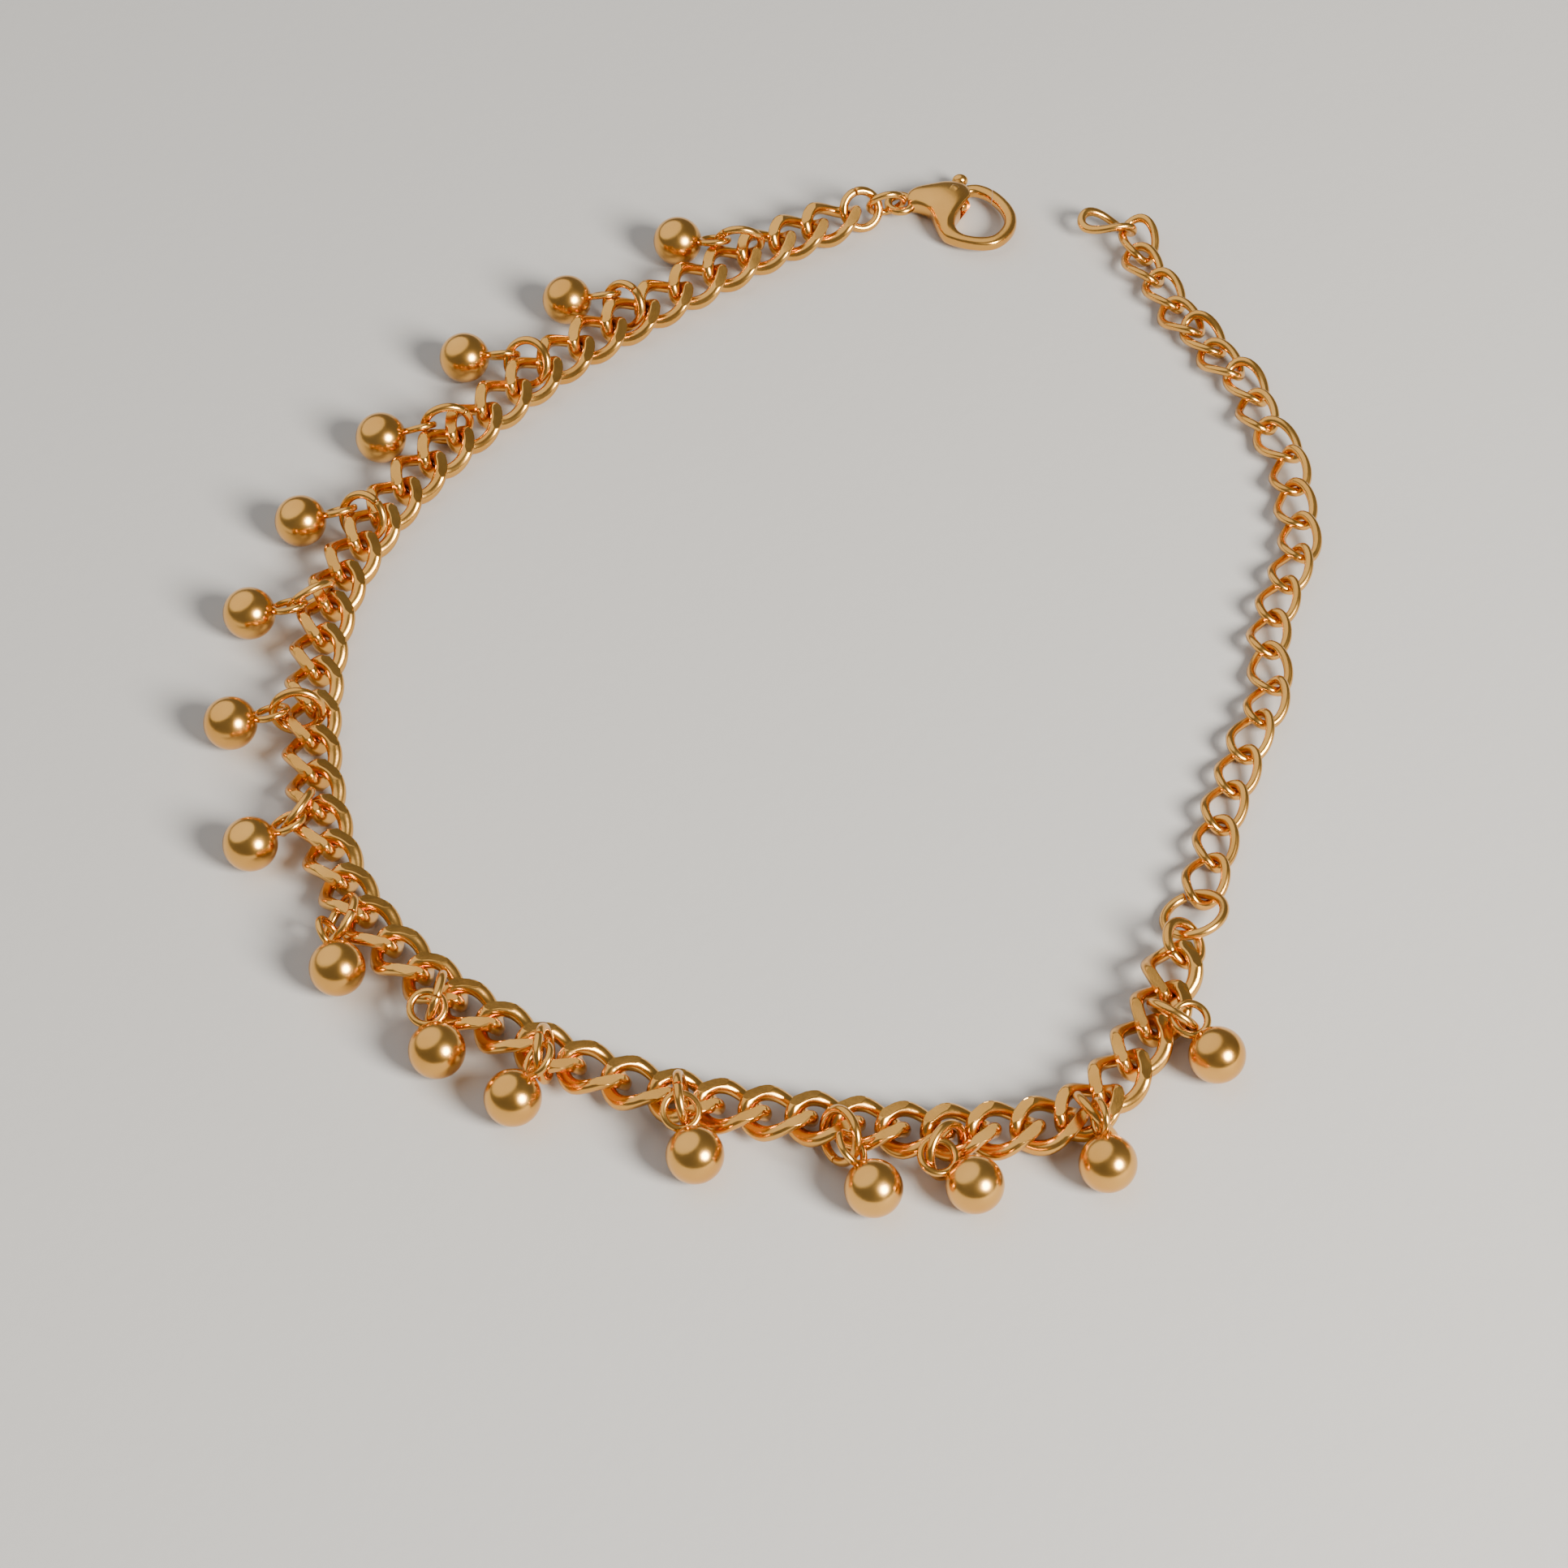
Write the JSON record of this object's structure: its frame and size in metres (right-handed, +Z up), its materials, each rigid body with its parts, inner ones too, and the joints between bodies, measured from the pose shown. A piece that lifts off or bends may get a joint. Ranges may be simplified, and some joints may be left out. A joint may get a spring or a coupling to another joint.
{
  "type": "anklet",
  "caption": "Curb-chain anklet with round ball charms on jump rings, an open-link extender and a lobster clasp, unfastened and lying open in a C.",
  "frame": {"origin": "centre of the bounding box on the floor the anklet lies on", "axes": "+Z up from the floor; +Y from the chain's near bend towards the clasp end; +X from the charmed side towards the extender"},
  "size_m": [0.0844, 0.1052, 0.0048],
  "materials": {
    "chain_metal": "polished gold-toned plating on links ground flat",
    "charm_metal": "mirror-polished gold-toned balls with wire loops",
    "ring_metal": "polished gold-toned round wire",
    "clasp_metal": "polished gold-toned casting"
  },
  "bodies": {
    "anklet": {"chain_run_01": "chain_metal", "chain_run_02": "chain_metal", "chain_run_03": "chain_metal", "chain_run_04": "chain_metal", "chain_run_05": "chain_metal", "chain_run_06": "chain_metal", "chain_run_07": "chain_metal", "chain_run_08": "chain_metal", "chain_run_09": "chain_metal", "chain_run_10": "chain_metal", "extender_run_1": "chain_metal", "extender_run_2": "chain_metal", "extender_run_3": "chain_metal", "extender_run_4": "chain_metal", "big_ring": "ring_metal", "connector_ring": "ring_metal", "clasp_ring": "ring_metal", "clasp_small_ring": "ring_metal", "charm_ring_01": "ring_metal", "charm_ring_02": "ring_metal", "charm_ring_03": "ring_metal", "charm_ring_04": "ring_metal", "charm_ring_05": "ring_metal", "charm_ring_06": "ring_metal", "charm_ring_07": "ring_metal", "charm_ring_08": "ring_metal", "charm_ring_09": "ring_metal", "charm_ring_10": "ring_metal", "charm_ring_11": "ring_metal", "charm_ring_12": "ring_metal", "charm_ring_13": "ring_metal", "charm_ring_14": "ring_metal", "charm_ring_15": "ring_metal", "charm_ring_16": "ring_metal", "charm_01": "charm_metal", "charm_02": "charm_metal", "charm_03": "charm_metal", "charm_04": "charm_metal", "charm_05": "charm_metal", "charm_06": "charm_metal", "charm_07": "charm_metal", "charm_08": "charm_metal", "charm_09": "charm_metal", "charm_10": "charm_metal", "charm_11": "charm_metal", "charm_12": "charm_metal", "charm_13": "charm_metal", "charm_14": "charm_metal", "charm_15": "charm_metal", "charm_16": "charm_metal", "clasp_body": "clasp_metal"},
    "lever": {"clasp_lever": "clasp_metal"}
  },
  "joints": [
    {"name": "clasp_lever_hinge", "type": "hinge", "parent": "anklet", "child": "lever", "pos_m": [0.01501, 0.04978, 0.0011], "axis": [0, 0, -1], "range_deg": [0, 25], "stiffness_Nm_per_rad": 0.0005, "springref_deg": -11.46}
  ]
}
